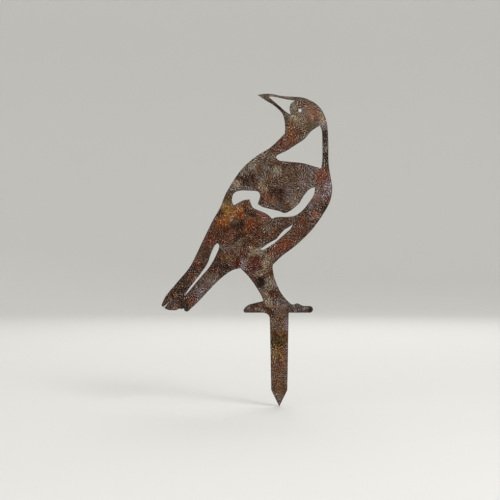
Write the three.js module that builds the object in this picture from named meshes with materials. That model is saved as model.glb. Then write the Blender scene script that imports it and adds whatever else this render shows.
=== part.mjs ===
// Bird figure: a life-size perched magpie, cut as one flat silhouette from rusted steel plate.
// The bird looks back over its shoulder, with the bill up and to the left.
// The openings through the plate stand for the pale patches of the plumage.
// A pointed spike below the toes is driven into a post, a branch or the ground.
// Units are millimetres, +Z is up, +X is to the right of the face seen from -Y.
// The plate lies in the XZ plane, with half of its thickness on each side of Y = 0.
// The origin is on the spike's centre line, level with the undersides of the toes.

import * as THREE from 'three';

// Driving dimensions
const PLATE_THICKNESS = 3;
const SPIKE_LENGTH = 122;
const SPIKE_POINT_LENGTH = 21.5;
const SPIKE_TOP_WIDTH = 24.4;
const SPIKE_LOW_WIDTH = 21;
const TOE_UNDERSIDE = 0;
const EYE_DIAMETER = 4.6;
const EYE_CENTRE = [26.9, 263.1];
const FEATHER_SLIT_WIDTH = 1.4;
const STEPS_PER_POINT = 4;
const EYE_STEPS = 12;

// Places where one stretch of the outline ends and the next begins
const BILL_TIP = [-28, 283.2];
const HEAD_FRONT = [23, 280.6];
const NECK_SIDE = [63.4, 232];
const SHOULDER = [67.5, 172.5];
const BELLY_END = [-8.4, 62.2];
const FRONT_TOE_ROOT = [15.5, 11];
const FRONT_TOE_END = [40.8, TOE_UNDERSIDE];
const REAR_TOE_HEEL = [-20.5, TOE_UNDERSIDE];
const REAR_TOE_END = [-45, TOE_UNDERSIDE];
const ANKLE = [-21.4, 15];
const CROTCH = [-50.5, 57.8];
const TAIL_CORNER = [-118, 2.4];
const TAIL_NOTCH = [-123.9, 5.6];
const TAIL_TIP = [-153.2, 10.2];
const FEATHER_SLIT_MOUTH = [-150, 7.1];
const FEATHER_SLIT_END = [-142.6, 14.8];
const NECK_HOLLOW = [7.2, 233];

// One outline carries straight lines and smooth curves through the points given to it.
const at = ([x, z]) => new THREE.Vector2(x, z);

function begin(path, start) {
  path.moveTo(...start);
}

function straight(path, ...points) {
  points.forEach((point) => path.lineTo(...point));
}

function smooth(path, ...points) {
  path.splineThru(points.map(at));
}

// Head: the ridge of the bill, the crown and the back of the neck
function addHead(path) {
  smooth(path, [-19.5, 284.6], [-9, 284.3], [2, 282], [12, 281.2], HEAD_FRONT);
  smooth(path, [33.5, 279], [46.5, 272.6], [56.6, 261.5], [61.8, 247.5], NECK_SIDE);
}

// Front of the body: the narrow strip beside the neck, the breast and the belly
function addBreast(path) {
  smooth(path, [63.9, 215], [64.2, 194], SHOULDER);
  smooth(path, [68.9, 160], [65.5, 143.5], [55.8, 126.2], [41.7, 107], [21.7, 87.5], [3.2, 73.4], BELLY_END);
}

// Front of the leg, and the front toe with its blunt claw
function addFrontToe(path) {
  smooth(path, [-8.4, 56], [-5.8, 43.8], [0.2, 29.5], [7.5, 18.8], FRONT_TOE_ROOT);
  smooth(path, [19.5, 10.7], [23.7, 12.1], [31, 9], [40.5, 8.6]);
  smooth(path, [43.4, 6.4], [43.5, 2.6], FRONT_TOE_END);
}

// Spike: two edges that close in a little, and a long point
function addSpike(path) {
  const shoulder = -(SPIKE_LENGTH - SPIKE_POINT_LENGTH);
  straight(
    path,
    [SPIKE_TOP_WIDTH / 2, TOE_UNDERSIDE],
    [SPIKE_LOW_WIDTH / 2, shoulder],
    [0, -SPIKE_LENGTH],
    [-SPIKE_LOW_WIDTH / 2, shoulder],
    [-SPIKE_TOP_WIDTH / 2, -11],
  );
}

// Rear toe: a heel that runs down into the spike, a flat underside and a rounded tip
function addRearToe(path) {
  smooth(path, [-13, -5.2], [-16, -1.6], REAR_TOE_HEEL);
  straight(path, REAR_TOE_END);
  smooth(path, [-46.6, 2.2], [-44.8, 6.2], [-39.5, 10.3], [-31.5, 12.6], ANKLE);
}

// Back of the leg, up to the crotch below the tail
function addLegRear(path) {
  smooth(path, [-22.6, 20.5], [-30.5, 34], [-40, 47], CROTCH);
}

// Tail: the underside, the ragged end, one slit between two feathers, and the tip
function addTail(path) {
  smooth(path, [-61.5, 54.8], [-76.5, 44.2], [-92.5, 28], [-106, 13.6], TAIL_CORNER);
  smooth(path, [-120.6, 1.4], [-123.4, 3], TAIL_NOTCH);
  smooth(path, [-127, 4.7], [-130.5, 5.2], [-134, 3.3], [-142.5, 3.3], [-147.6, 4.8]);
  const [mouthX, mouthZ] = FEATHER_SLIT_MOUTH;
  const side = FEATHER_SLIT_WIDTH / 2 / Math.SQRT2;
  straight(path, [mouthX + side, mouthZ - side], FEATHER_SLIT_END, [mouthX - side, mouthZ + side]);
  smooth(path, [-152.3, 8.2], TAIL_TIP);
}

// Back: from the tail tip over the folded wing to the hollow below the throat
function addBack(path) {
  smooth(
    path,
    [-147, 22.5], [-133.5, 38.8], [-117, 58.6], [-107.5, 76.5], [-99.5, 93.5], [-86.5, 120],
    [-77, 136.5], [-70.5, 153], [-60.5, 170.5], [-47, 188.8], [-29, 204.2], [-11, 215.4],
    NECK_HOLLOW,
  );
}

// Throat: from the hollow of the neck up along the lower half of the bill
function addThroat(path) {
  smooth(path, [7.6, 241.5], [6.2, 252.5], [2.4, 261.2], [-8, 270.4], [-18, 276.4], BILL_TIP);
}

// Opening in the bill, with a mouth corner that reaches back under the eye
function billOpening() {
  const hole = new THREE.Path();
  begin(hole, [-13.8, 280.6]);
  smooth(hole, [-9.5, 281.4], [-1, 279.9], [9, 277.6], [20.6, 276]);
  smooth(hole, [15, 271.6], [13.4, 265.6], [14.8, 257.4]);
  smooth(hole, [8.8, 261.2], [1, 268], [-6.5, 274.3], [-13.8, 280.6]);
  return hole;
}

// Eye: a small round hole
function eyeOpening() {
  const circle = new THREE.EllipseCurve(...EYE_CENTRE, EYE_DIAMETER / 2, EYE_DIAMETER / 2);
  return new THREE.Path(circle.getPoints(EYE_STEPS));
}

// Opening for the pale nape: a leaning triangle between the neck and the narrow strip
function napeOpening() {
  const hole = new THREE.Path();
  begin(hole, [52.6, 243.4]);
  smooth(hole, [55.4, 236.5], [56.1, 220], [56.1, 200], [54.6, 187.6]);
  smooth(hole, [45.5, 190.2], [31, 194.4], [14, 196.2], [0.5, 197.8], [-3.8, 201.2]);
  smooth(hole, [-2.5, 205], [9.5, 210.6], [21, 218], [32.6, 225.8], [41.5, 236], [52.6, 243.4]);
  return hole;
}

// Opening for the pale wing patch: a broad lobe, a narrow bend and a rising horn
function wingOpening() {
  const hole = new THREE.Path();
  begin(hole, [-61.8, 147]);
  smooth(hole, [-59.2, 155], [-51, 158.8], [-38, 158.6], [-28, 157.6], [-25, 151.5], [-28.2, 141.3]);
  smooth(hole, [-20.5, 137], [-8, 134], [1, 131.6], [7.5, 129.6], [15.5, 133.2], [26, 142.2]);
  smooth(hole, [32.5, 152.8], [39.5, 160.6], [46.6, 163.4]);
  smooth(hole, [45, 153.6], [38.5, 143.2], [30.5, 133.4], [21, 126.6], [10, 124.6], [-1, 124.6], [-9.6, 122.6]);
  smooth(hole, [-15.6, 128], [-25.8, 132.8], [-34.5, 137], [-38.6, 147.4]);
  smooth(hole, [-46, 146.4], [-53, 143.2], [-59.2, 140.2], [-61.8, 147]);
  return hole;
}

// Slit between the breast and the folded wing
function breastSlit() {
  const hole = new THREE.Path();
  begin(hole, [-24.8, 82.8]);
  smooth(
    hole,
    [-22.7, 83.8], [-16.8, 88.2], [-10.2, 92.2], [-3.7, 96], [1.2, 101.9], [6.5, 107.5],
    [13, 111.6], [17.4, 114.8],
  );
  smooth(
    hole,
    [14.6, 109.2], [9.1, 104.1], [3.4, 99.1], [-2.3, 94.1], [-8.2, 89.6], [-14.4, 85.3],
    [-21.3, 81.7], [-24.8, 82.8],
  );
  return hole;
}

// Slit between the wing tip and the tail feathers
function tailSlit() {
  const hole = new THREE.Path();
  begin(hole, [-123.3, 21.6]);
  smooth(
    hole,
    [-118.7, 29.6], [-112.9, 37.3], [-102.1, 51.1], [-93.6, 63.6], [-89.4, 75.3], [-84.6, 86.2],
    [-80.6, 90.4],
  );
  smooth(
    hole,
    [-78.1, 85.8], [-83.7, 71.9], [-91.4, 58.9], [-101.4, 47.2], [-111.6, 35.2], [-117.4, 28.1],
    [-123.3, 21.6],
  );
  return hole;
}

// The stretches run clockwise, and an extrusion needs its outline counterclockwise.
function birdOutline() {
  const edge = new THREE.Path();
  begin(edge, BILL_TIP);
  addHead(edge);
  addBreast(edge);
  addFrontToe(edge);
  addSpike(edge);
  addRearToe(edge);
  addLegRear(edge);
  addTail(edge);
  addBack(edge);
  addThroat(edge);
  const outline = new THREE.Shape(edge.getPoints(STEPS_PER_POINT).reverse());
  outline.holes.push(
    billOpening(),
    eyeOpening(),
    napeOpening(),
    wingOpening(),
    breastSlit(),
    tailSlit(),
  );
  return outline;
}

// Rusted steel plate: dull brown, rough, with little metal left to shine
const rustedSteel = new THREE.MeshStandardMaterial({
  color: 0x5f4534,
  roughness: 0.9,
  metalness: 0.2,
});

// The extrusion runs along its own Z, so it is stood up to run along Y.
function birdPlate() {
  const geometry = new THREE.ExtrudeGeometry(birdOutline(), {
    depth: PLATE_THICKNESS,
    bevelEnabled: false,
    curveSegments: STEPS_PER_POINT,
  });
  geometry.rotateX(Math.PI / 2);
  geometry.translate(0, PLATE_THICKNESS / 2, 0);
  const plate = new THREE.Mesh(geometry, rustedSteel);
  plate.name = 'bird_plate';
  return plate;
}

const group = new THREE.Group();
group.add(birdPlate());

export default group;
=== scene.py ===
"""Bird figure: a life-size perched magpie, cut as one flat silhouette from rusted steel plate.

The plate stands upright in the XZ plane with its face towards -Y. The dressed plate keeps the outline of the
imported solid. Its faces are cut into small cells, its edges are eased, and the rust skin's scale and pits are
modelled on it as low relief. Lengths are in millimetres where a name ends in _mm, and in metres otherwise.
"""

import logging
import math
from dataclasses import dataclass
from enum import Enum

import bmesh
import bpy
import numpy
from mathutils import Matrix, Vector, kdtree, noise


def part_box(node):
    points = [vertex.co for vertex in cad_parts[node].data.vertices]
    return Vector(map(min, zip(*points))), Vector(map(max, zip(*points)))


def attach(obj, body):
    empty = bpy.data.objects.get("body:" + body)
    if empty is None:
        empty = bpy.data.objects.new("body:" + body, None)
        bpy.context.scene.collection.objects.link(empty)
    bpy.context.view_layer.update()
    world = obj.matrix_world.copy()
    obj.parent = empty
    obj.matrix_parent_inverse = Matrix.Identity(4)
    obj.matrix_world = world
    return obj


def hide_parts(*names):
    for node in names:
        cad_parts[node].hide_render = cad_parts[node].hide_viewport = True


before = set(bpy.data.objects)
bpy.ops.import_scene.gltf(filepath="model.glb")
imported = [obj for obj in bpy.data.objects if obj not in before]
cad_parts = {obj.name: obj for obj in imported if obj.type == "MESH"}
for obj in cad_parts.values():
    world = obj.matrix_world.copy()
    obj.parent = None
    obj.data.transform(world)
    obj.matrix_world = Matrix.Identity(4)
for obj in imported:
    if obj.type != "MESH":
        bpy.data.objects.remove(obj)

log = logging.getLogger("bird_figure")

MM = 0.001
PER_METRE = 1000.0
PLATE_NODE = "bird_plate"
BODY = "root"
RIM_LAYER = "rim_mm"
STAIN_LAYER = "stain"
COARSE_LAYER = "coarseness"
EYE_GAMMA = 2.2

# Points closer together than this are one
SAME_POINT_MM = 0.001

# A point this close to a cut is taken to lie on it
CUT_REACH_MM = 0.0001

# A face of the front or the back has a normal with more of Y in it than this
FLAT_NORMAL = 0.5

# The least cover that a stain's colour is divided by
LEAST_COVER = 1e-6

# A patch fades out between these reaches, where 1 is its half size
OUTER_REACH = 1.4
INNER_REACH = 0.6

# How far the pattern of the back is moved against that of the front
BACK_SHIFT_MM = (34.0, 0.0, -47.0)

# The photograph's frame, with the point of it that is the origin of the part
PHOTO_SIDE_PX = 500
MM_PER_PX = 1.3
ORIGIN_PX = Vector((279.3, 312.7))

Tree = bpy.types.NodeTree
Socket = bpy.types.NodeSocket


class Surface(Enum):
    """The two kinds of surface of a cut plate, by the number of their material slot."""

    FACE = 0
    CUT_EDGE = 1


def linear_colour(hex_value: str) -> tuple[float, float, float, float]:
    """Turns an sRGB colour into the linear one that a shader takes.

    Args:
        hex_value: the colour as six hexadecimal digits.

    Returns:
        Linear red, green and blue, and an alpha of 1.
    """
    parts = [int(hex_value[i:i + 2], 16) / 255 for i in (0, 2, 4)]
    red, green, blue = (c / 12.92 if c <= 0.04045 else ((c + 0.055) / 1.055) ** 2.4 for c in parts)
    return (red, green, blue, 1.0)


def socket_of(sockets: bpy.types.bpy_prop_collection, name: str) -> Socket:
    """Finds a socket of a node by its identifier, or else by its name."""
    return next((s for s in sockets if s.identifier == name), None) or sockets[name]


def add_node(
    tree: Tree,
    kind: str,
    settings: dict[str, object] | None = None,
    values: dict[str, object] | None = None,
    links: dict[str, Socket] | None = None,
) -> bpy.types.Node:
    """Adds a node to a tree, with its settings, the values of its own sockets and its links.

    Args:
        tree: the node tree.
        kind: the node's type.
        settings: properties of the node.
        values: constants for its input sockets.
        links: output sockets that feed its input sockets.

    Returns:
        The new node.
    """
    node = tree.nodes.new(kind)
    for name, value in (settings or {}).items():
        setattr(node, name, value)
    for name, value in (values or {}).items():
        socket_of(node.inputs, name).default_value = value
    for name, source in (links or {}).items():
        tree.links.new(source, socket_of(node.inputs, name))
    return node


def start_material(name: str) -> tuple[bpy.types.Material, Tree]:
    """Makes a material that has no nodes yet.

    Args:
        name: the material's name.

    Returns:
        The material and its empty node tree.
    """
    material = bpy.data.materials.new(name)
    material.use_nodes = True
    material.node_tree.nodes.clear()
    return material, material.node_tree


class Tint(Enum):
    """The colours that a rust skin takes, as the eye sees them from a little way off."""

    PITCH = "1c0d06"
    PEAT = "241c12"
    SOOT = "28160d"
    UMBER = "45291a"
    MAROON = "4f2418"
    OXIDE_RED = "733519"
    BRICK = "8c4630"
    RUST_ORANGE = "7f4817"
    TAN = "a37042"
    OCHRE = "846230"
    OLIVE = "534716"
    MOSS = "403012"
    BUFF = "9a8870"
    STONE = "786e5e"
    ASH = "9a8e92"
    LILAC = "7c6c6e"
    SLATE = "58514c"
    ROSE = "764c3f"
    SALMON = "8f6553"


@dataclass(frozen=True)
class Bloom:
    """One patch of the rust skin that has a colour of its own.

    Its centre and half sizes are in millimetres in the plate's frame. It turns, in degrees, from +X
    towards +Z.
    """

    place: str
    x_mm: float
    z_mm: float
    wide_mm: float
    high_mm: float
    tint: Tint
    strength: float = 0.7
    turn: float = 0.0


BROAD_BLOOMS = (
    Bloom("whole head", 36, 254, 34, 34, Tint.STONE, 0.4),
    Bloom("whole neck", 10, 222, 26, 16, Tint.OXIDE_RED, 0.25, 40),
    Bloom("whole belly", -58, 118, 34, 24, Tint.RUST_ORANGE, 0.3, -10),
    Bloom("lower belly", -40, 100, 34, 14, Tint.UMBER, 0.4),
    Bloom("whole spike", 0, -55, 20, 70, Tint.OCHRE, 0.15),
    Bloom("whole rump", -60, 84, 34, 16, Tint.UMBER, 0.25, -10),
    Bloom("whole flank", 18, 100, 40, 16, Tint.OXIDE_RED, 0.1, 40),
    Bloom("whole tail", -118, 36, 60, 34, Tint.UMBER, 0.35, 48),
    Bloom("whole shoulder", 12, 170, 34, 20, Tint.STONE, 0.15),
)

HEAD_BLOOMS = (
    Bloom("bill tip", -19, 281, 8, 5, Tint.STONE, 0.5),
    Bloom("ridge of the bill", 2, 281, 16, 3, Tint.STONE, 0.5, -5),
    Bloom("lower half of the bill", -1, 266, 11, 5, Tint.SOOT, 0.5, -40),
    Bloom("front of the face", 18, 266, 6, 10, Tint.STONE, 0.4),
    Bloom("forehead", 34, 272, 12, 7, Tint.ROSE, 0.3),
    Bloom("behind the eye", 35, 259, 10, 8, Tint.SALMON, 0.2),
    Bloom("cheek", 21, 252, 10, 5, Tint.BUFF, 0.45),
    Bloom("back of the crown", 45, 259, 8, 9, Tint.SALMON, 0.55),
    Bloom("nape, inner edge", 50, 249, 5, 5, Tint.MAROON, 0.45),
    Bloom("top of the nape", 57, 251, 5, 12, Tint.BUFF, 0.6, 14),
    Bloom("nape, below its top", 59, 242, 4, 6, Tint.LILAC, 0.9),
    Bloom("side of the neck", 36, 238, 9, 7, Tint.OLIVE, 0.3),
    Bloom("throat", 14, 238, 7, 14, Tint.RUST_ORANGE, 0.3),
    Bloom("throat, rear", 8, 249, 4, 8, Tint.PEAT, 0.4),
    Bloom("middle of the neck", 24, 236, 7, 6, Tint.UMBER, 0.4),
    Bloom("collar", -5, 214, 13, 6, Tint.UMBER, 0.2, 38),
    Bloom("nape strip", 59, 229, 6, 9, Tint.PEAT, 0.8),
    Bloom("nape strip, grey fleck", 60, 212, 5, 4, Tint.STONE, 0.45),
    Bloom("nape strip, lower end", 60, 203, 6, 9, Tint.PEAT, 0.85),
)

BODY_BLOOMS = (
    Bloom("shoulder edge", -36, 194, 9, 7, Tint.STONE, 0.55, 40),
    Bloom("back edge", -44, 184, 8, 6, Tint.STONE, 0.55, 40),
    Bloom("back", -42, 173, 10, 8, Tint.SOOT, 0.6),
    Bloom("wing edge", -56, 166, 7, 6, Tint.BUFF, 0.55),
    Bloom("wing top", -42, 162, 9, 3, Tint.LILAC, 0.3),
    Bloom("beside the lobe", -21, 164, 6, 12, Tint.BUFF, 0.3),
    Bloom("below the lobe", -18, 151, 7, 8, Tint.OXIDE_RED, 0.35),
    Bloom("lobe corner", -22, 149, 4, 5, Tint.UMBER, 0.95),
    Bloom("mid shoulder", -4, 184, 6, 7, Tint.STONE, 0.7),
    Bloom("under the nape opening", 19, 187, 14, 6, Tint.UMBER, 0.25),
    Bloom("corner of the nape opening", -11, 202, 5, 5, Tint.STONE, 0.55),
    Bloom("foot of the back", -24, 190, 9, 7, Tint.BUFF, 0.15),
    Bloom("below the collar", -27, 202, 7, 5, Tint.STONE, 0.35, 30),
    Bloom("over the wing bend", -2, 155, 9, 8, Tint.SOOT, 0.85),
    Bloom("around the wing bend", -6, 162, 12, 12, Tint.UMBER, 0.4),
    Bloom("over the horn", 15, 155, 9, 12, Tint.LILAC, 0.2, 50),
    Bloom("over the wing bend, right", 7, 151, 10, 6, Tint.UMBER, 0.3),
    Bloom("above the horn", 35, 160, 6, 8, Tint.LILAC, 0.25),
    Bloom("wing bend, right", 21, 143, 8, 10, Tint.STONE, 0.5, 40),
    Bloom("wing bend, foot", 4, 138, 6, 8, Tint.SOOT, 0.3),
    Bloom("wing bend, middle", -5, 145, 5, 6, Tint.STONE, 0.25),
    Bloom("below the horn, right", 35, 133, 6, 8, Tint.PEAT, 0.42),
    Bloom("breast corner", 34, 173, 11, 9, Tint.LILAC, 0.2),
    Bloom("corner under the nape", 41, 189, 8, 4, Tint.LILAC, 0.5, -15),
    Bloom("beside the horn", 50, 159, 6, 7, Tint.LILAC, 0.5),
    Bloom("shoulder point", 61, 174, 5, 6, Tint.MAROON, 0.5),
    Bloom("foot of the nape strip", 57, 177, 9, 11, Tint.BRICK, 0.3),
    Bloom("breast edge", 63, 162, 7, 11, Tint.LILAC, 0.75),
    Bloom("breast edge, pale", 65, 164, 4, 5, Tint.ASH, 0.3),
    Bloom("breast edge, red", 64, 149, 5, 5, Tint.MAROON, 0.85),
    Bloom("breast edge, lower", 58, 139, 5, 7, Tint.PEAT, 0.8, 30),
    Bloom("breast", 44, 140, 8, 7, Tint.LILAC, 0.25),
    Bloom("breast, middle", 56, 144, 5, 5, Tint.SALMON, 0.2),
    Bloom("breast, inner edge", 47, 151, 5, 6, Tint.SALMON, 0.4),
    Bloom("below the horn", 12, 116, 9, 5, Tint.UMBER, 0.4, 10),
    Bloom("lower breast", 48, 127, 6, 5, Tint.SALMON, 0.6),
    Bloom("breast, foot", 43, 114, 7, 10, Tint.UMBER, 0.4, -45),
    Bloom("flank", 26, 110, 11, 7, Tint.ROSE, 0.2, 35),
    Bloom("flank, upper", 26, 112, 8, 7, Tint.UMBER, 0.35),
    Bloom("flank, lower", 4, 88, 13, 8, Tint.OXIDE_RED, 0.48, 40),
    Bloom("flank, rose", 3, 94, 5, 4, Tint.SALMON, 0.35),
    Bloom("flank, foot", 6, 80, 6, 5, Tint.MAROON, 0.5),
    Bloom("beside the breast slit", -1, 105, 5, 5, Tint.UMBER, 0.85),
    Bloom("ochre side", -68, 134, 9, 10, Tint.OCHRE, 0.6),
    Bloom("side, dark edge", -78, 129, 5, 5, Tint.UMBER, 0.85),
    Bloom("under the wing edge", -70, 148, 6, 8, Tint.OLIVE, 0.5, 70),
    Bloom("below the lobe's tip", -58, 124, 5, 8, Tint.TAN, 0.5),
    Bloom("orange side", -74, 118, 8, 8, Tint.RUST_ORANGE, 0.65),
    Bloom("orange side, edge", -87, 115, 5, 6, Tint.UMBER, 0.7),
    Bloom("red belly", -50, 127, 6, 5, Tint.OXIDE_RED, 0.7),
    Bloom("above the red belly", -52, 133, 5, 4, Tint.TAN, 0.5),
    Bloom("red belly, middle", -37, 115, 8, 7, Tint.OXIDE_RED, 0.8),
    Bloom("red belly, right", -20, 125, 8, 4, Tint.BRICK, 0.4, -30),
    Bloom("belly, below the bend", -38, 129, 9, 4, Tint.SOOT, 0.8, -30),
    Bloom("belly, lower left", -53, 98, 8, 6, Tint.SOOT, 0.7),
    Bloom("dark belly", -55, 115, 9, 8, Tint.SOOT, 0.8),
    Bloom("tan belly", -60, 120, 5, 5, Tint.STONE, 0.25),
    Bloom("dark side", -75, 105, 9, 7, Tint.UMBER, 0.95),
    Bloom("rose belly", -62, 101, 6, 6, Tint.ROSE, 0.35),
    Bloom("lower belly, grey", -50, 92, 5, 5, Tint.STONE, 0.45),
    Bloom("over the tail slit", -75, 86, 5, 5, Tint.STONE, 0.65),
    Bloom("side of the rump", -80, 93, 9, 5, Tint.MAROON, 0.75),
    Bloom("upper tail edge", -92, 102, 6, 8, Tint.UMBER, 0.5, -30),
    Bloom("middle of the belly", -27, 109, 13, 9, Tint.UMBER, 0.35, -40),
    Bloom("belly, right", -28, 107, 7, 7, Tint.UMBER, 1.0),
    Bloom("belly, above the slit", -15, 110, 7, 6, Tint.STONE, 0.4),
)

LEG_AND_TAIL_BLOOMS = (
    Bloom("rump", -35, 79, 6, 6, Tint.BUFF, 0.55, -25),
    Bloom("above the rump", -37, 90, 7, 4, Tint.UMBER, 0.5),
    Bloom("rump, grey", -54, 83, 6, 7, Tint.STONE, 0.3),
    Bloom("over the crotch", -41, 66, 5, 6, Tint.SALMON, 0.5),
    Bloom("rump, left", -46, 79, 7, 7, Tint.MAROON, 0.6),
    Bloom("below the breast slit", -23, 91, 5, 4, Tint.STONE, 0.3),
    Bloom("top of the thigh", -24, 79, 7, 5, Tint.STONE, 0.75, -20),
    Bloom("front of the thigh", -14, 65, 7, 8, Tint.BUFF, 0.45),
    Bloom("thigh, middle", -18, 61, 5, 7, Tint.BUFF, 0.48),
    Bloom("knee", -11, 55, 5, 7, Tint.MAROON, 0.6),
    Bloom("thigh", -31, 66, 7, 8, Tint.MAROON, 0.85),
    Bloom("thigh, middle, red", -29, 65, 5, 10, Tint.MAROON, 0.5),
    Bloom("thigh, rear", -38, 53, 8, 7, Tint.MAROON, 0.5, -40),
    Bloom("thigh, foot", -26, 51, 5, 5, Tint.BUFF, 0.3),
    Bloom("crotch", -48, 64, 5, 8, Tint.LILAC, 0.6),
    Bloom("behind the crotch", -55, 64, 5, 7, Tint.MAROON, 1.0),
    Bloom("shank, dark", -23, 40, 8, 7, Tint.PITCH, 1.0),
    Bloom("shank, front", -14, 37, 5, 8, Tint.STONE, 0.6),
    Bloom("shank, front edge", -8, 42, 4, 7, Tint.BUFF, 0.3),
    Bloom("shank, lower edge", -6, 34, 4, 6, Tint.LILAC, 0.35, -40),
    Bloom("shank, lower", -8, 24, 8, 5, Tint.UMBER, 0.95),
    Bloom("ankle", 6, 14, 8, 7, Tint.SLATE, 0.85),
    Bloom("ankle, pale", 11, 13, 5, 5, Tint.LILAC, 0.4),
    Bloom("ankle, rear", -17, 18, 6, 6, Tint.BUFF, 0.3),
    Bloom("below the ankle", -13, 11, 5, 5, Tint.BUFF, 0.45),
    Bloom("shank, rear edge", -23, 26, 5, 9, Tint.LILAC, 0.2, -25),
    Bloom("over the spike", -4, 6, 10, 8, Tint.LILAC, 0.15),
    Bloom("front toe, root", 14, 3, 5, 4, Tint.PEAT, 0.55),
    Bloom("heel", -9, -5, 4, 6, Tint.UMBER, 0.5),
    Bloom("band over the rear toe", -14, 4, 8, 3, Tint.UMBER, 1.0, -45),
    Bloom("rear toe", -33, 9, 9, 3, Tint.UMBER, 0.8),
    Bloom("rear toe, underside", -24, 3, 6, 2, Tint.STONE, 0.4),
    Bloom("front toe", 26, 6, 12, 5, Tint.SLATE, 0.5),
    Bloom("front claw", 43, 5, 5, 6, Tint.PEAT, 0.5),
    Bloom("spike, upper", 9, -15, 5, 8, Tint.LILAC, 0.6),
    Bloom("spike, dark", -3, -36, 12, 8, Tint.MOSS, 0.85),
    Bloom("spike, tan", -4, -54, 10, 9, Tint.OCHRE, 0.4),
    Bloom("spike, middle", 3, -64, 6, 6, Tint.MAROON, 0.6),
    Bloom("spike, side", 9, -62, 5, 10, Tint.ROSE, 0.35),
    Bloom("spike, red", -3, -80, 11, 13, Tint.ROSE, 0.2),
    Bloom("spike, olive", 6, -79, 5, 9, Tint.STONE, 0.3),
    Bloom("spike, point", -1, -110, 8, 9, Tint.STONE, 0.35),
    Bloom("tail root", -92, 92, 8, 8, Tint.OXIDE_RED, 0.3),
    Bloom("tail, red", -103, 70, 7, 13, Tint.UMBER, 0.4, -25),
    Bloom("tail, upper slit edge", -110, 65, 5, 5, Tint.ROSE, 0.6),
    Bloom("tail, rose", -115, 46, 9, 5, Tint.ROSE, 0.35),
    Bloom("tail, dark", -128, 37, 12, 8, Tint.PEAT, 0.6, 40),
    Bloom("tail, lower", -129, 23, 9, 8, Tint.SOOT, 0.55, 40),
    Bloom("tail tip", -124, 7, 6, 6, Tint.PEAT, 0.95),
    Bloom("tail end", -111, 13, 7, 8, Tint.ROSE, 0.45),
    Bloom("tail, inner edge", -104, 20, 6, 8, Tint.LILAC, 0.35),
    Bloom("tail, outer edge", -141, 17, 8, 7, Tint.UMBER, 0.35, 40),
    Bloom("tail, middle", -105, 28, 11, 8, Tint.LILAC, 0.35, 30),
    Bloom("tail, hatched", -86, 47, 6, 10, Tint.STONE, 0.5, -20),
    Bloom("tail, below the hatched part", -88, 37, 6, 8, Tint.LILAC, 0.4, -20),
    Bloom("tail, over the slit", -115, 56, 9, 5, Tint.SOOT, 0.45, 50),
    Bloom("tail root, dark", -74, 63, 10, 6, Tint.SOOT, 0.75, 30),
    Bloom("tail root, front", -93, 51, 5, 5, Tint.STONE, 0.3),
    Bloom("tail root, lower", -86, 56, 6, 7, Tint.UMBER, 0.8),
    Bloom("tail root, edge", -66, 55, 13, 5, Tint.SOOT, 0.45, 20),
    Bloom("tail root, rear", -65, 77, 8, 5, Tint.MAROON, 0.45),
    Bloom("tail root, over the slit", -79, 74, 6, 6, Tint.UMBER, 0.75),
    Bloom("tail root, olive", -68, 72, 8, 5, Tint.OCHRE, 0.25),
)


@dataclass(frozen=True)
class CoarseSpot:
    """One place where the finest grain stands out more than elsewhere, or less, by gain."""

    place: str
    x_mm: float
    z_mm: float
    wide_mm: float
    high_mm: float
    gain: float
    turn: float = 0.0


COARSE_SPOTS = (
    CoarseSpot("head", 36, 250, 19, 24, 0.78),
    CoarseSpot("lower half of the bill", -9, 272, 15, 7, 0.5, -36),
    CoarseSpot("front of the face", 19, 265, 8, 10, 1.7),
    CoarseSpot("tail tip", -132, 18, 20, 14, 1.4, 40),
    CoarseSpot("crotch", -56, 62, 12, 10, 1.4),
    CoarseSpot("nape strip", 60, 214, 6, 24, 1.4),
    CoarseSpot("breast corner", 44, 184, 14, 10, 1.4),
    CoarseSpot("shoulder edge", -34, 200, 14, 8, 1.4, 40),
    CoarseSpot("shank, rear", -26, 46, 8, 12, 1.25),
    CoarseSpot("belly", -64, 116, 9, 9, 1.2),
    CoarseSpot("rump", -18, 84, 14, 10, 1.25),
    CoarseSpot("spike, upper", -2, -26, 14, 9, 0.65),
    CoarseSpot("spike, lower", 0, -88, 12, 18, 0.72),
    CoarseSpot("foot of the neck", -12, 198, 8, 8, 0.8),
    CoarseSpot("middle of the shoulder", 20, 176, 8, 14, 0.8),
    CoarseSpot("tail, upper", -103, 82, 9, 14, 0.6, -25),
)


def points_in_mm(mesh: bpy.types.Mesh) -> numpy.ndarray:
    """Lists a mesh's points, moved on the back so that each face has a pattern of its own.

    Args:
        mesh: the mesh, in metres.

    Returns:
        One row for each point, in millimetres.
    """
    points = numpy.empty(len(mesh.vertices) * 3, dtype=numpy.float32)
    mesh.vertices.foreach_get("co", points)
    points = points.reshape(-1, 3).astype(float) * PER_METRE
    points[points[:, 1] > 0] += BACK_SHIFT_MM
    return points


def cover_of(patch: Bloom | CoarseSpot, points: numpy.ndarray) -> numpy.ndarray:
    """Works out how far a patch covers each point.

    Args:
        patch: the patch.
        points: one row for each point, in millimetres.

    Returns:
        The cover of each point, from 0 outside the patch to 1 inside.
    """
    east = points[:, 0] - patch.x_mm
    north = points[:, 2] - patch.z_mm
    turn = math.radians(patch.turn)
    along = east * math.cos(turn) + north * math.sin(turn)
    across = north * math.cos(turn) - east * math.sin(turn)
    reach = numpy.hypot(along / patch.wide_mm, across / patch.high_mm)
    ease = numpy.clip((OUTER_REACH - reach) / (OUTER_REACH - INNER_REACH), 0, 1)
    return ease * ease * (3 - 2 * ease)


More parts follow.
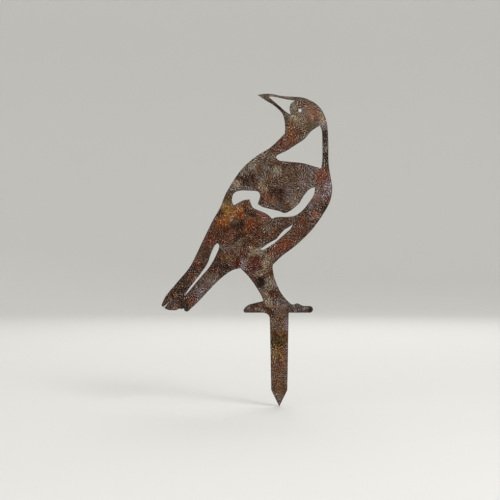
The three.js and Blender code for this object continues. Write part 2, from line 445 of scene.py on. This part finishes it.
@dataclass(frozen=True)
class Staining:
    """The blooms of a rust skin, laid over each other with ragged edges.

    The seed fixes where the noise of the edges is taken, which Blender else draws from the clock.
    """

    blooms: tuple[Bloom, ...] = BROAD_BLOOMS + HEAD_BLOOMS + BODY_BLOOMS + LEG_AND_TAIL_BLOOMS
    push_mm: float = 2.6
    push_size_mm: float = 5.0
    push_octaves: int = 4
    push_roughness: float = 0.8
    seed: int = 1

    def lay_on(self, mesh: bpy.types.Mesh) -> None:
        """Stores the blooms' colour, and how far it covers the ground, at each point of a mesh.

        Args:
            mesh: the mesh, in metres.
        """
        noise.seed_set(self.seed)
        points = points_in_mm(mesh)
        points += numpy.array([self.push(Vector(point)) for point in points])
        stain = numpy.zeros((len(points), 4))
        for bloom in self.blooms:
            share = bloom.strength * cover_of(bloom, points)[:, None]
            stain = stain * (1 - share) + numpy.array(linear_colour(bloom.tint.value)) * share
        stain[:, :3] /= numpy.maximum(stain[:, 3:], LEAST_COVER)
        layer = mesh.color_attributes.new(STAIN_LAYER, "FLOAT_COLOR", "POINT")
        layer.data.foreach_set("color", stain.astype(numpy.float32).ravel())

    def push(self, point: Vector) -> Vector:
        """Works out how far a point is pushed about before it is set against the blooms.

        Args:
            point: the point in millimetres.

        Returns:
            The push in millimetres.
        """
        size = self.push_size_mm
        reach = self.push_mm
        total = Vector((0.0, 0.0, 0.0))
        for _ in range(self.push_octaves):
            total += noise.noise_vector(point / size) * reach
            size /= 2
            reach *= self.push_roughness
        return total


@dataclass(frozen=True)
class Coarseness:
    """How much the finest grain stands out: it comes in clusters, and some places are smoother."""

    spots: tuple[CoarseSpot, ...] = COARSE_SPOTS
    cluster_mm: float = 6.0
    cluster_swing: float = 1.3
    least: float = 0.3

    def lay_on(self, mesh: bpy.types.Mesh) -> None:
        """Stores the finest grain's gain at each point of a mesh.

        Args:
            mesh: the mesh, in metres.
        """
        points = points_in_mm(mesh)
        gain = numpy.array([noise.noise(Vector(point) / self.cluster_mm) for point in points])
        gain = 1 + self.cluster_swing * gain
        for spot in self.spots:
            gain *= 1 + (spot.gain - 1) * cover_of(spot, points)
        layer = mesh.attributes.new(COARSE_LAYER, "FLOAT", "POINT")
        layer.data.foreach_set("value", numpy.maximum(gain, self.least).astype(numpy.float32))


@dataclass(frozen=True)
class Mottle:
    """A pattern of patches about size_mm across, with finer ones inside them.

    It is taken away_mm along Y, so that patterns of one size differ.
    """

    size_mm: float
    detail: float
    roughness: float
    away_mm: float

    def add_to(self, tree: Tree, place: Socket) -> bpy.types.Node:
        """Adds the pattern to a material.

        Args:
            tree: the material's node tree.
            place: the point in millimetres.

        Returns:
            The noise node.
        """
        moved = add_node(
            tree, "ShaderNodeVectorMath", {"operation": "ADD"},
            values={"Vector_001": (0.0, self.away_mm, 0.0)}, links={"Vector": place},
        )
        return add_node(
            tree, "ShaderNodeTexNoise",
            values={"Scale": 1 / self.size_mm, "Detail": self.detail, "Roughness": self.roughness},
            links={"Vector": moved.outputs["Vector"]},
        )


@dataclass(frozen=True)
class Drift(Mottle):
    """A colour that the skin drifts to: it begins at one value of the pattern, and is full at another."""

    colour: str
    begins: float
    full: float


@dataclass(frozen=True)
class GrainLayer(Mottle):
    """One size of lighter and darker grains: step is how far it moves the lightness, from 0 to 1."""

    step: float

    def add_steps(self, tree: Tree, place: Socket) -> tuple[Socket, Socket]:
        """Adds the grain and the steps of lightness that come from it.

        Args:
            tree: the material's node tree.
            place: the point in millimetres.

        Returns:
            The grain's height, from 0 to 1, and its step of lightness, about 0.
        """
        height = self.add_to(tree, place).outputs["Fac"]
        step = add_node(
            tree, "ShaderNodeMath", {"operation": "MULTIPLY_ADD"},
            values={"Value_001": self.step, "Value_002": -self.step / 2}, links={"Value": height},
        )
        return height, step.outputs["Value"]


@dataclass(frozen=True)
class RustSkin:
    """Weathering steel under a closed rust skin, grown outdoors and left untreated.

    It gives the eye a dry, matt, granular brown that is mottled with orange, ochre, buff and near black. Real
    rust grains are 0.1 to 0.5 mm across, too fine to show, so the fine grain is drawn as coarse as their
    clumps.
    """

    name: str = "weathering_steel_rust"
    roughness: float = 0.92
    ior: float = 1.5
    specular: float = 0.12
    bump_strength: float = 1.0
    bump_depth_mm: float = 0.15
    brown: str = "4d392d"
    warm: Drift = Drift(12.0, 3.0, 0.6, 203.0, colour="5f3b23", begins=0.40, full=0.68)
    cool: Drift = Drift(12.0, 3.0, 0.6, 409.0, colour="5a504d", begins=0.42, full=0.68)
    broad_grains: tuple[GrainLayer, ...] = (
        GrainLayer(9.0, 1.0, 0.8, 17.0, step=0.18),
        GrainLayer(3.2, 1.0, 0.8, 41.0, step=0.23),
        GrainLayer(0.45, 2.0, 0.6, 131.0, step=0.45),
    )
    fine_grain: GrainLayer = GrainLayer(1.35, 0.0, 0.5, 73.0, step=0.95)
    pit_mm: float = 2.8
    pit_bend: Mottle = Mottle(2.24, 2.0, 0.6, 97.0)
    pit_push_mm: float = 1.6
    pit_step: float = 0.08
    pit_middle: float = 0.46
    lift: float = -0.042
    swing_in_light: float = 1.22
    swing_half_at: float = 0.08
    darkest: tuple[float, float, float] = (0.045, 0.03, 0.025)
    rim_mm: float = 1.8
    rim_step: float = 0.035
    grey_mm: float = 6.5
    grey_share: float = 0.22

    def build(self) -> bpy.types.Material:
        """Makes the material.

        Returns:
            The material, with its patterns in Object coordinates.
        """
        material, tree = start_material(self.name)
        place = self.place_in_mm(tree)
        colour = self.ground(tree, place)
        colour = self.bloom(tree, colour)
        colour = self.grey_rim(tree, colour)
        step, height = self.grain_steps(tree, place)
        colour = self.speckle(tree, colour, step)
        add_shader(tree, self, colour, height)
        return material

    def place_in_mm(self, tree: Tree) -> Socket:
        """Finds the point in millimetres, moved on the back so that each face has a pattern of its own.

        Args:
            tree: the material's node tree.

        Returns:
            The point.
        """
        coordinates = add_node(tree, "ShaderNodeTexCoord")
        scaled = add_node(
            tree, "ShaderNodeVectorMath", {"operation": "SCALE"},
            values={"Scale": PER_METRE}, links={"Vector": coordinates.outputs["Object"]},
        )
        parts = add_node(tree, "ShaderNodeSeparateXYZ", links={"Vector": scaled.outputs["Vector"]})
        is_back = add_node(
            tree, "ShaderNodeMath", {"operation": "GREATER_THAN"},
            values={"Value_001": 0.0}, links={"Value": parts.outputs["Y"]},
        )
        shift = add_node(
            tree, "ShaderNodeVectorMath", {"operation": "SCALE"},
            values={"Vector": BACK_SHIFT_MM}, links={"Scale": is_back.outputs["Value"]},
        )
        moved = add_node(
            tree, "ShaderNodeVectorMath", {"operation": "ADD"},
            links={"Vector": scaled.outputs["Vector"], "Vector_001": shift.outputs["Vector"]},
        )
        return moved.outputs["Vector"]

    def ground(self, tree: Tree, place: Socket) -> Socket:
        """Makes the colour of the skin between the blooms: brown, drifting to warm and to cool.

        Args:
            tree: the material's node tree.
            place: the point in millimetres.

        Returns:
            The linear colour.
        """
        colour = add_node(tree, "ShaderNodeRGB").outputs["Color"]
        colour.default_value = linear_colour(self.brown)
        for drift in (self.warm, self.cool):
            share = add_node(
                tree, "ShaderNodeMapRange", {"interpolation_type": "SMOOTHSTEP"},
                values={"From Min": drift.begins, "From Max": drift.full},
                links={"Value": drift.add_to(tree, place).outputs["Fac"]},
            )
            mix = add_node(
                tree, "ShaderNodeMix", {"data_type": "RGBA"},
                values={"B_Color": linear_colour(drift.colour)},
                links={"Factor_Float": share.outputs["Result"], "A_Color": colour},
            )
            colour = socket_of(mix.outputs, "Result_Color")
        return colour

    def bloom(self, tree: Tree, colour: Socket) -> Socket:
        """Lays the blooms, which the plate's own points carry, over the ground.

        Args:
            tree: the material's node tree.
            colour: the ground's linear colour.

        Returns:
            The linear colour with the blooms.
        """
        stain = add_node(tree, "ShaderNodeAttribute", {"attribute_name": STAIN_LAYER})
        mix = add_node(
            tree, "ShaderNodeMix", {"data_type": "RGBA"},
            links={
                "Factor_Float": stain.outputs["Alpha"],
                "A_Color": colour,
                "B_Color": stain.outputs["Color"],
            },
        )
        return socket_of(mix.outputs, "Result_Color")

    def grey_rim(self, tree: Tree, colour: Socket) -> Socket:
        """Makes the skin greyer towards the rim, where rain runs off and the rust stays thin.

        Args:
            tree: the material's node tree.
            colour: the linear colour.

        Returns:
            The linear colour, greyer along the rim.
        """
        rim = add_node(tree, "ShaderNodeAttribute", {"attribute_name": RIM_LAYER})
        fullness = add_node(
            tree, "ShaderNodeMapRange", {"interpolation_type": "SMOOTHSTEP"},
            values={"From Min": 0.0, "From Max": self.grey_mm, "To Min": 1 - self.grey_share, "To Max": 1.0},
            links={"Value": rim.outputs["Fac"]},
        )
        greyed = add_node(
            tree, "ShaderNodeHueSaturation",
            links={"Saturation": fullness.outputs["Result"], "Color": colour},
        )
        return greyed.outputs["Color"]

    def grain_steps(self, tree: Tree, place: Socket) -> tuple[Socket, Socket]:
        """Adds up the grain layers.

        Args:
            tree: the material's node tree.
            place: the point in millimetres.

        Returns:
            The step of lightness, about 0, and the fine grain's height, from 0 to 1.
        """
        total = add_node(tree, "ShaderNodeValue").outputs["Value"]
        total.default_value = self.lift
        for layer in self.broad_grains:
            step = layer.add_steps(tree, place)[1]
            total = add_node(
                tree, "ShaderNodeMath", {"operation": "ADD"}, links={"Value": total, "Value_001": step}
            ).outputs["Value"]
        height, fine = self.fine_grain.add_steps(tree, place)
        crisp = add_node(
            tree, "ShaderNodeMath", {"operation": "ADD"},
            links={"Value": fine, "Value_001": self.pit_steps(tree, place)},
        )
        coarseness = add_node(tree, "ShaderNodeAttribute", {"attribute_name": COARSE_LAYER})
        total = add_node(
            tree, "ShaderNodeMath", {"operation": "MULTIPLY_ADD"},
            links={
                "Value": crisp.outputs["Value"],
                "Value_001": coarseness.outputs["Fac"],
                "Value_002": total,
            },
        )
        return total.outputs["Value"], height

    def pit_steps(self, tree: Tree, place: Socket) -> Socket:
        """Adds the pits, which darken the middles of small ragged cells.

        Args:
            tree: the material's node tree.
            place: the point in millimetres.

        Returns:
            The pits' step of lightness, about 0.
        """
        push = self.pit_bend.add_to(tree, place)
        bent = add_node(
            tree, "ShaderNodeVectorMath", {"operation": "MULTIPLY_ADD"},
            values={"Vector_001": (self.pit_push_mm,) * 3},
            links={"Vector": push.outputs["Color"], "Vector_002": place},
        )
        pits = add_node(
            tree, "ShaderNodeTexVoronoi", {"feature": "F1"},
            values={"Scale": 1 / self.pit_mm}, links={"Vector": bent.outputs["Vector"]},
        )
        lowered = add_node(
            tree, "ShaderNodeMath", {"operation": "MULTIPLY_ADD"},
            values={"Value_001": self.pit_step, "Value_002": -self.pit_step * self.pit_middle},
            links={"Value": pits.outputs["Distance"]},
        )
        return lowered.outputs["Value"]

    def speckle(self, tree: Tree, colour: Socket, step: Socket) -> Socket:
        """Moves the lightness by the grain's step as the eye sees it, less far where the skin is near black.

        Args:
            tree: the material's node tree.
            colour: the linear colour.
            step: the step of lightness.

        Returns:
            The speckled linear colour, darker along the rim.
        """
        seen = add_node(tree, "ShaderNodeGamma", values={"Gamma": 1 / EYE_GAMMA}, links={"Color": colour})
        rim = add_node(tree, "ShaderNodeAttribute", {"attribute_name": RIM_LAYER})
        dark_rim = add_node(
            tree, "ShaderNodeMapRange", {"interpolation_type": "SMOOTHSTEP"},
            values={"From Min": 0.0, "From Max": self.rim_mm, "To Min": -self.rim_step, "To Max": 0.0},
            links={"Value": rim.outputs["Fac"]},
        )
        level = add_node(
            tree, "ShaderNodeMath", {"operation": "ADD"},
            links={"Value": step, "Value_001": dark_rim.outputs["Result"]},
        )
        full = add_node(
            tree, "ShaderNodeVectorMath", {"operation": "SCALE"},
            values={"Scale": self.swing_in_light}, links={"Vector": seen.outputs["Color"]},
        )
        raised = add_node(
            tree, "ShaderNodeVectorMath", {"operation": "ADD"},
            values={"Vector_001": (self.swing_half_at,) * 3}, links={"Vector": seen.outputs["Color"]},
        )
        swing = add_node(
            tree, "ShaderNodeVectorMath", {"operation": "DIVIDE"},
            links={"Vector": full.outputs["Vector"], "Vector_001": raised.outputs["Vector"]},
        )
        moved = add_node(
            tree, "ShaderNodeVectorMath", {"operation": "MULTIPLY_ADD"},
            links={
                "Vector": swing.outputs["Vector"],
                "Vector_001": level.outputs["Value"],
                "Vector_002": seen.outputs["Color"],
            },
        )
        held = add_node(
            tree, "ShaderNodeVectorMath", {"operation": "MAXIMUM"},
            values={"Vector_001": self.darkest}, links={"Vector": moved.outputs["Vector"]},
        )
        linear = add_node(
            tree, "ShaderNodeGamma", values={"Gamma": EYE_GAMMA}, links={"Color": held.outputs["Vector"]}
        )
        return linear.outputs["Color"]


@dataclass(frozen=True)
class CutEdge:
    """The plate's cut edge, left by a fine torch and rusted since.

    It gives the eye a darker band than the faces, with fine lines across the thickness, drawn out by along_y.
    """

    name: str = "cut_edge_rust"
    roughness: float = 0.88
    ior: float = 1.5
    specular: float = 0.35
    bump_strength: float = 0.8
    bump_depth_mm: float = 0.2
    dark: str = "2c1f19"
    brown: str = "5c4233"
    lines: Mottle = Mottle(1.2, 4.0, 0.65, 0.0)
    along_y: float = 0.25
    dark_below: float = 0.32
    brown_above: float = 0.68

    def build(self) -> bpy.types.Material:
        """Makes the material.

        Returns:
            The material, with its pattern in Object coordinates.
        """
        material, tree = start_material(self.name)
        coordinates = add_node(tree, "ShaderNodeTexCoord")
        drawn_out = add_node(
            tree, "ShaderNodeVectorMath", {"operation": "MULTIPLY"},
            values={"Vector_001": (PER_METRE, PER_METRE * self.along_y, PER_METRE)},
            links={"Vector": coordinates.outputs["Object"]},
        )
        height = self.lines.add_to(tree, drawn_out.outputs["Vector"]).outputs["Fac"]
        share = add_node(
            tree, "ShaderNodeMapRange",
            values={"From Min": self.dark_below, "From Max": self.brown_above}, links={"Value": height},
        )
        colour = add_node(
            tree, "ShaderNodeMix", {"data_type": "RGBA"},
            values={"A_Color": linear_colour(self.dark), "B_Color": linear_colour(self.brown)},
            links={"Factor_Float": share.outputs["Result"]},
        )
        add_shader(tree, self, socket_of(colour.outputs, "Result_Color"), height)
        return material


def add_shader(tree: Tree, finish: RustSkin | CutEdge, colour: Socket, height: Socket) -> None:
    """Ends a material with its bump, its shader and its output.

    Args:
        tree: the material's node tree.
        finish: what gives the roughness, the IOR, the specular level and the bump.
        colour: the linear colour.
        height: the height that the bump follows, from 0 to 1.
    """
    bump = add_node(
        tree, "ShaderNodeBump",
        values={"Strength": finish.bump_strength, "Distance": finish.bump_depth_mm * MM},
        links={"Height": height},
    )
    shader = add_node(
        tree, "ShaderNodeBsdfPrincipled",
        values={
            "Roughness": finish.roughness,
            "Metallic": 0.0,
            "IOR": finish.ior,
            "Specular IOR Level": finish.specular,
        },
        links={"Base Color": colour, "Normal": bump.outputs["Normal"]},
    )
    add_node(tree, "ShaderNodeOutputMaterial", links={"Surface": shader.outputs["BSDF"]})


@dataclass(frozen=True)
class StudioGrey:
    """Matt pale paint of a studio floor: it gives soft light back and shows no pattern."""

    name: str = "matt_studio_paint"
    colour: str = "d9d8d5"
    roughness: float = 0.95
    specular: float = 0.1

    def build(self) -> bpy.types.Material:
        """Makes the material.

        Returns:
            The material.
        """
        material = bpy.data.materials.new(self.name)
        material.use_nodes = True
        shader = material.node_tree.nodes["Principled BSDF"]
        shader.inputs["Base Color"].default_value = linear_colour(self.colour)
        shader.inputs["Roughness"].default_value = self.roughness
        shader.inputs["Specular IOR Level"].default_value = self.specular
        return material


def runs_through(edge: bmesh.types.BMEdge) -> bool:
    """Tells whether an edge runs straight through the plate, from its face to its back."""
    run = edge.verts[1].co - edge.verts[0].co
    return math.hypot(run.x, run.z) < SAME_POINT_MM * MM


def is_flat(face: bmesh.types.BMFace) -> bool:
    """Tells whether a face lies on the front or the back, not on the cut wall."""
    return abs(face.normal.y) > FLAT_NORMAL


@dataclass
class BirdPlate:
    """The bird, its toes and its spike: one flat plate with a rust skin."""

    cell_mm: float = 1.0
    eased_edge_mm: float = 0.35
    edge_segments: int = 2
    flat_degrees: float = 0.5
    taken_out_above_mm: tuple[float, ...] = (40.0, 24.0, 16.0, 12.0, 9.0, 6.0, 4.0, 0.0)
    scale_mm: float = 7.0
    scale_depth_mm: float = 0.10
    scale_fade: float = 0.8
    scale_octaves: int = 3
    octave_ratio: float = 2.0
    pit_mm: float = 2.6
    pit_depth_mm: float = 0.16
    pit_brim: float = 0.55
    side_shift_mm: float = 40.0
    calm_rim_mm: float = 1.2
    least_step_mm: float = 0.02
    staining: Staining = Staining()
    coarseness: Coarseness = Coarseness()
    skin: RustSkin = RustSkin()
    edge: CutEdge = CutEdge()

    def build(self) -> bpy.types.Object:
        """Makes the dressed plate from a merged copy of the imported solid.

        Returns:
            The plate's object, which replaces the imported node.
        """
        shape = bmesh.new()
        shape.from_mesh(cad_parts[PLATE_NODE].data)
        bmesh.ops.remove_doubles(shape, verts=shape.verts[:], dist=SAME_POINT_MM * MM)
        self.flatten_faces(shape)
        self.match_back(shape)
        self.ease_edges(shape)
        self.cut_cells(shape)
        self.measure_rim(shape)
        self.raise_relief(shape)
        mesh = bpy.data.meshes.new(PLATE_NODE + "_rusted")
        shape.to_mesh(mesh)
        shape.free()
        mesh.shade_smooth()
        self.staining.lay_on(mesh)
        self.coarseness.lay_on(mesh)
        plate = bpy.data.objects.new(mesh.name, mesh)
        bpy.context.scene.collection.objects.link(plate)
        mesh.materials.append(self.skin.build())
        mesh.materials.append(self.edge.build())
        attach(plate, BODY)
        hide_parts(PLATE_NODE)
        return plate

    def flatten_faces(self, shape: bmesh.types.BMesh) -> None:
        """Takes out the solid's triangle edges inside flat faces, the longest first.

        The few that stay, as a face can't hold an opening, are then short and lie square to the rim.

        Args:
            shape: the mesh.
        """
        limit = math.radians(self.flat_degrees)
        for length_mm in self.taken_out_above_mm:
            inner = [e for e in shape.edges if e.calc_length() > length_mm * MM and not runs_through(e)]
            bmesh.ops.dissolve_limit(shape, angle_limit=limit, verts=[], edges=inner)

    def match_back(self, shape: bmesh.types.BMesh) -> None:
        """Divides the back into the same faces as the front, so that both take the eased edge alike.

        Args:
            shape: the mesh.
        """
        across = {}
        for edge in filter(runs_through, shape.edges):
            near, far = sorted(edge.verts, key=lambda vert: vert.co.y)
            across[near] = far
        front = [face for face in shape.faces if is_flat(face) and face.normal.y < 0]
        back = [face for face in shape.faces if is_flat(face) and face.normal.y > 0]
        bmesh.ops.delete(shape, geom=back, context="FACES")
        for face in front:
            shape.faces.new([across[vert] for vert in reversed(face.verts[:])])
        shape.normal_update()

    def ease_edges(self, shape: bmesh.types.BMesh) -> None:
        """Rounds the edge between each face and the cut wall a little, as handling and rust do.

        Args:
            shape: the mesh.
        """
        rim = [edge for edge in shape.edges if len({is_flat(face) for face in edge.link_faces}) == 2]
        bmesh.ops.bevel(
            shape,
            geom=rim,
            offset=self.eased_edge_mm * MM,
            offset_type="OFFSET",
            segments=self.edge_segments,
            profile=0.5,
            affect="EDGES",
            material=-1,
            clamp_overlap=False,
            miter_outer="ARC",
            spread=self.eased_edge_mm * MM,
        )

    def cut_cells(self, shape: bmesh.types.BMesh) -> None:
        """Cuts the plate along X and along Z into cells that the relief can move.

        Args:
            shape: the mesh.
        """
        low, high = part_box(PLATE_NODE)
        for axis in (0, 2):
            count = math.ceil((high[axis] - low[axis]) / (self.cell_mm * MM))
            self.halve(shape, shape.faces[:], axis, low[axis], count)
        bmesh.ops.remove_doubles(shape, verts=shape.verts[:], dist=self.least_step_mm * MM)
        bmesh.ops.delete(shape, geom=[v for v in shape.verts if not v.link_faces], context="VERTS")

    def halve(
        self, shape: bmesh.types.BMesh, faces: list[bmesh.types.BMFace], axis: int, low: float, count: int
    ) -> None:
        """Cuts faces in two along an axis, and each half again, until they are one cell wide.

        Args:
            shape: the mesh that the faces belong to.
            faces: the faces that lie in this stretch of the axis.
            axis: 0 for X, 2 for Z.
            low: where the stretch begins.
            count: how many cells long it is.
        """
        if count < 2 or not faces:
            return
        near_count = count // 2
        direction = Vector((0.0, 0.0, 0.0))
        direction[axis] = 1.0
        middle = low + near_count * self.cell_mm * MM
        edges = dict.fromkeys(edge for face in faces for edge in face.edges)
        verts = dict.fromkeys(vert for face in faces for vert in face.verts)
        made = bmesh.ops.bisect_plane(
            shape,
            geom=[*verts, *edges, *faces],
            dist=CUT_REACH_MM * MM,
            plane_co=direction * middle,
            plane_no=direction,
        )["geom"]
        near, far = [], []
        for face in made:
            if isinstance(face, bmesh.types.BMFace):
                (near if face.calc_center_median()[axis] < middle else far).append(face)
        self.halve(shape, near, axis, low, near_count)
        self.halve(shape, far, axis, middle, count - near_count)

    def measure_rim(self, shape: bmesh.types.BMesh) -> None:
        """Stores how far each point lies from the cut wall, for what happens along the rim.

        Args:
            shape: the mesh.
        """
        wall = dict.fromkeys(vert for face in shape.faces if not is_flat(face) for vert in face.verts)
        tree = kdtree.KDTree(len(wall))
        for number, vert in enumerate(wall):
            tree.insert(Vector((vert.co.x, 0.0, vert.co.z)), number)
        tree.balance()
        layer = shape.verts.layers.float.new(RIM_LAYER)
        for vert in shape.verts:
            vert[layer] = tree.find(Vector((vert.co.x, 0.0, vert.co.z)))[2] * PER_METRE

    def raise_relief(self, shape: bmesh.types.BMesh) -> None:
        """Presses the low places of the rust skin in, and names the surface of each face.

        The highest scale stays at the solid's own face, so the plate never grows. The relief dies out towards
        the rim, so the eased edge stays clean.

        Args:
            shape: the mesh.
        """
        for face in shape.faces:
            face.material_index = (Surface.FACE if is_flat(face) else Surface.CUT_EDGE).value
        rim = shape.verts.layers.float[RIM_LAYER]
        for vert in shape.verts:
            side = 1.0 if vert.co.y > 0 else -1.0
            point = vert.co * PER_METRE + Vector((0.0, side * self.side_shift_mm, 0.0))
            rough = noise.fractal(
                point / self.scale_mm, self.scale_fade, self.octave_ratio, self.scale_octaves
            )
            scale = (1 + rough) / 2
            pit = (1 + noise.noise(point / self.pit_mm)) / 2
            depth = self.scale_depth_mm * (1 - scale) + self.pit_depth_mm * max(0.0, self.pit_brim - pit)
            share = min(1.0, vert[rim] / self.calm_rim_mm)
            vert.co.y -= side * max(0.0, depth) * share * MM


@dataclass(frozen=True)
class Softbox:
    """A large square lamp that gives soft light. Its place and side are in metres."""

    name: str
    place: tuple[float, float, float]
    side: float
    watts: float

    def hang(self, aim: Vector) -> None:
        """Hangs the lamp and turns it to the object.

        Args:
            aim: the point that it shines at.
        """
        lamp = bpy.data.lights.new(self.name, "AREA")
        lamp.shape = "SQUARE"
        lamp.size = self.side
        lamp.energy = self.watts
        holder = bpy.data.objects.new(self.name, lamp)
        holder.location = self.place
        holder.rotation_euler = (aim - Vector(self.place)).to_track_quat("-Z", "Y").to_euler()
        bpy.context.scene.collection.objects.link(holder)


@dataclass
class Studio:
    """The pale stage, its soft lights and the camera at the photograph's viewing angle."""

    floor_radius: float = 2.6
    sweep_radius: float = 1.0
    sweep_steps: int = 10
    round_steps: int = 96
    wall_height: float = 2.6
    room_colour: str = "f2f2f0"
    room_strength: float = 1.0
    aim: tuple[float, float, float] = (-0.04, 0.0, 0.08)
    key: Softbox = Softbox("key_softbox", (0.95, -1.3, 1.25), 0.7, 15.0)
    fill: Softbox = Softbox("fill_softbox", (-1.5, -1.5, 0.5), 1.4, 6.0)
    back: Softbox = Softbox("back_softbox", (0.3, 1.8, 1.5), 1.4, 16.0)
    lens_mm: float = 100.0
    sensor_mm: float = 36.0

    def build(self) -> None:
        """Makes the stage, the lights, the camera and the view settings."""
        scene = bpy.context.scene
        scene.view_settings.view_transform = "Standard"
        self.add_bowl()
        self.add_lights()
        self.add_camera()

    def add_bowl(self) -> None:
        """Spins a floor that sweeps up into a wall all round, so every side has the same ground behind it."""
        floor_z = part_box(PLATE_NODE)[0].z
        bowl = bmesh.new()
        profile = [Vector((0.0, 0.0, floor_z)), Vector((self.floor_radius, 0.0, floor_z))]
        for step in range(1, self.sweep_steps + 1):
            turn = math.pi / 2 * step / self.sweep_steps
            out = self.floor_radius + self.sweep_radius * math.sin(turn)
            up = floor_z + self.sweep_radius * (1 - math.cos(turn))
            profile.append(Vector((out, 0.0, up)))
        profile.append(Vector((self.floor_radius + self.sweep_radius, 0.0, floor_z + self.wall_height)))
        verts = [bowl.verts.new(point) for point in profile]
        edges = [bowl.edges.new(pair) for pair in zip(verts, verts[1:])]
        bmesh.ops.spin(
            bowl,
            geom=verts + edges,
            cent=(0, 0, 0),
            axis=(0, 0, 1),
            angle=math.tau,
            steps=self.round_steps,
            use_merge=True,
        )
        bmesh.ops.remove_doubles(bowl, verts=bowl.verts[:], dist=MM)
        bmesh.ops.recalc_face_normals(bowl, faces=bowl.faces[:])
        mesh = bpy.data.meshes.new("studio_floor")
        bowl.to_mesh(mesh)
        bowl.free()
        mesh.shade_smooth()
        mesh.materials.append(StudioGrey().build())
        floor = bpy.data.objects.new("studio_floor", mesh)
        bpy.context.scene.collection.objects.link(floor)

    def add_lights(self) -> None:
        """Lights the pale room: the key at the upper right front, a fill at the left, one over the back."""
        world = bpy.data.worlds.new("pale_room")
        world.use_nodes = True
        background = world.node_tree.nodes["Background"]
        background.inputs["Color"].default_value = linear_colour(self.room_colour)
        background.inputs["Strength"].default_value = self.room_strength
        bpy.context.scene.world = world
        for softbox in (self.key, self.fill, self.back):
            softbox.hang(Vector(self.aim))

    def add_camera(self) -> None:
        """Sets the camera square on to the plate, at the distance that gives the photograph's scale."""
        centre_px = Vector((PHOTO_SIDE_PX / 2, PHOTO_SIDE_PX / 2))
        off = (centre_px - ORIGIN_PX) * MM_PER_PX * MM
        field = PHOTO_SIDE_PX * MM_PER_PX * MM
        front_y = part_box(PLATE_NODE)[0].y
        lens = bpy.data.cameras.new("photo_camera")
        lens.lens = self.lens_mm
        lens.sensor_width = self.sensor_mm
        camera = bpy.data.objects.new("photo_camera", lens)
        camera.location = (off.x, front_y - field * self.lens_mm / self.sensor_mm, -off.y)
        camera.rotation_euler = (math.pi / 2, 0.0, 0.0)
        bpy.context.scene.collection.objects.link(camera)
        bpy.context.scene.camera = camera


def main() -> None:
    """Builds the stage and the dressed plate."""
    logging.basicConfig(level=logging.INFO, format="%(message)s")
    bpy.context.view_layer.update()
    Studio().build()
    plate = BirdPlate().build()
    log.info("%s: %d vertices, %d faces", plate.name, len(plate.data.vertices), len(plate.data.polygons))


if __name__ == "__main__":
    main()
